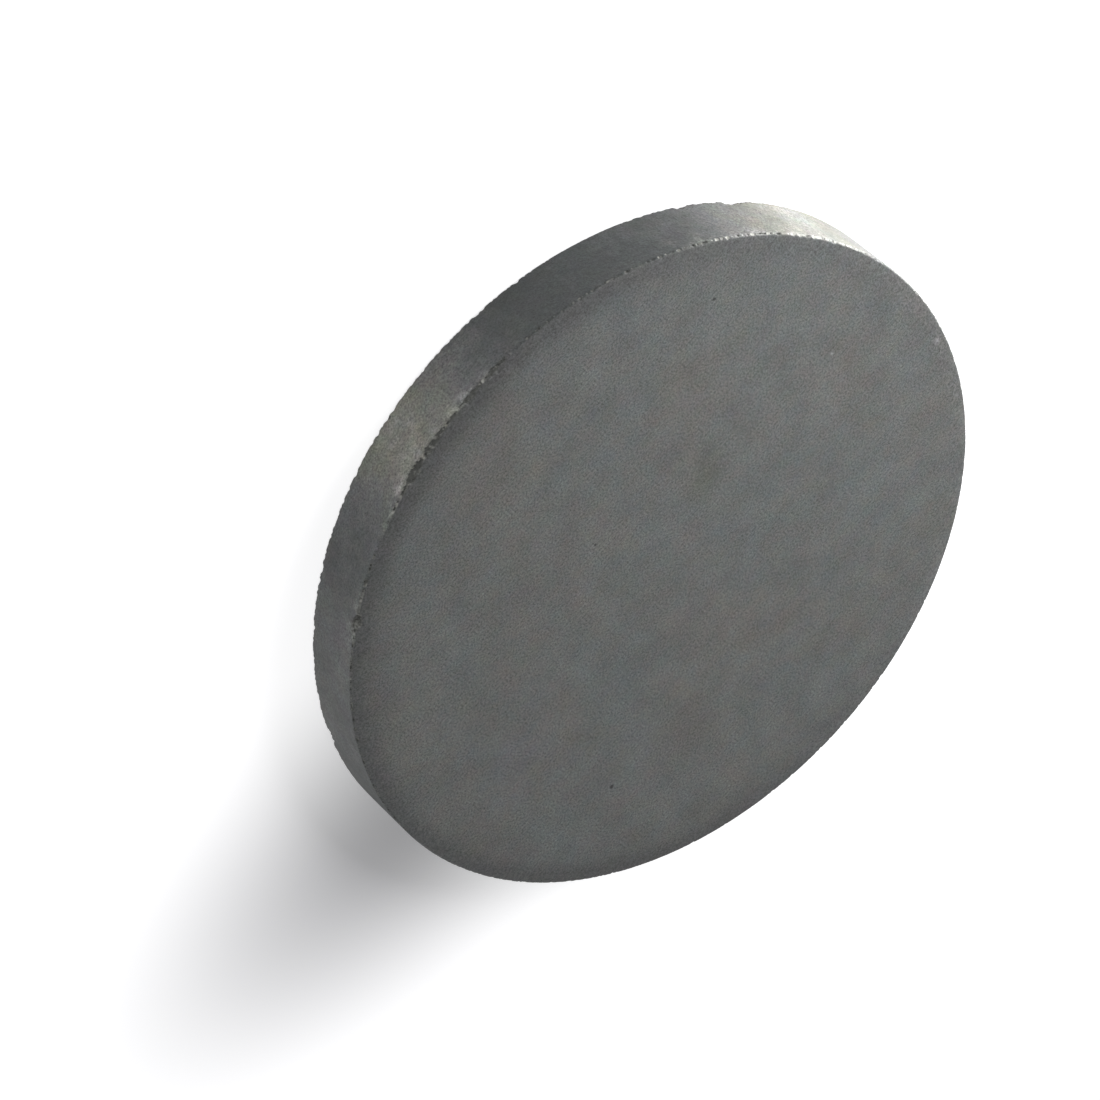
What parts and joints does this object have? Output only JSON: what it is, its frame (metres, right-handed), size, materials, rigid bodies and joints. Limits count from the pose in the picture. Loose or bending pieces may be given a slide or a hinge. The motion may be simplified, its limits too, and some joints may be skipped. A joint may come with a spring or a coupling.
{
  "type": "disc magnet",
  "caption": "Flat round ferrite magnet with two pole faces: one edge softly rolled and crumbled in places, the other sharp.",
  "frame": {"origin": "centre of the lower pole face, which the disc lies on", "axes": "+Z through the thickness, towards the pole face with the rolled edge; the crumbled run of that edge faces -Y"},
  "size_m": [0.03, 0.03, 0.003],
  "materials": {
    "ferrite": "satin"
  },
  "bodies": {
    "root": {"magnet_disc": "ferrite"}
  },
  "joints": []
}
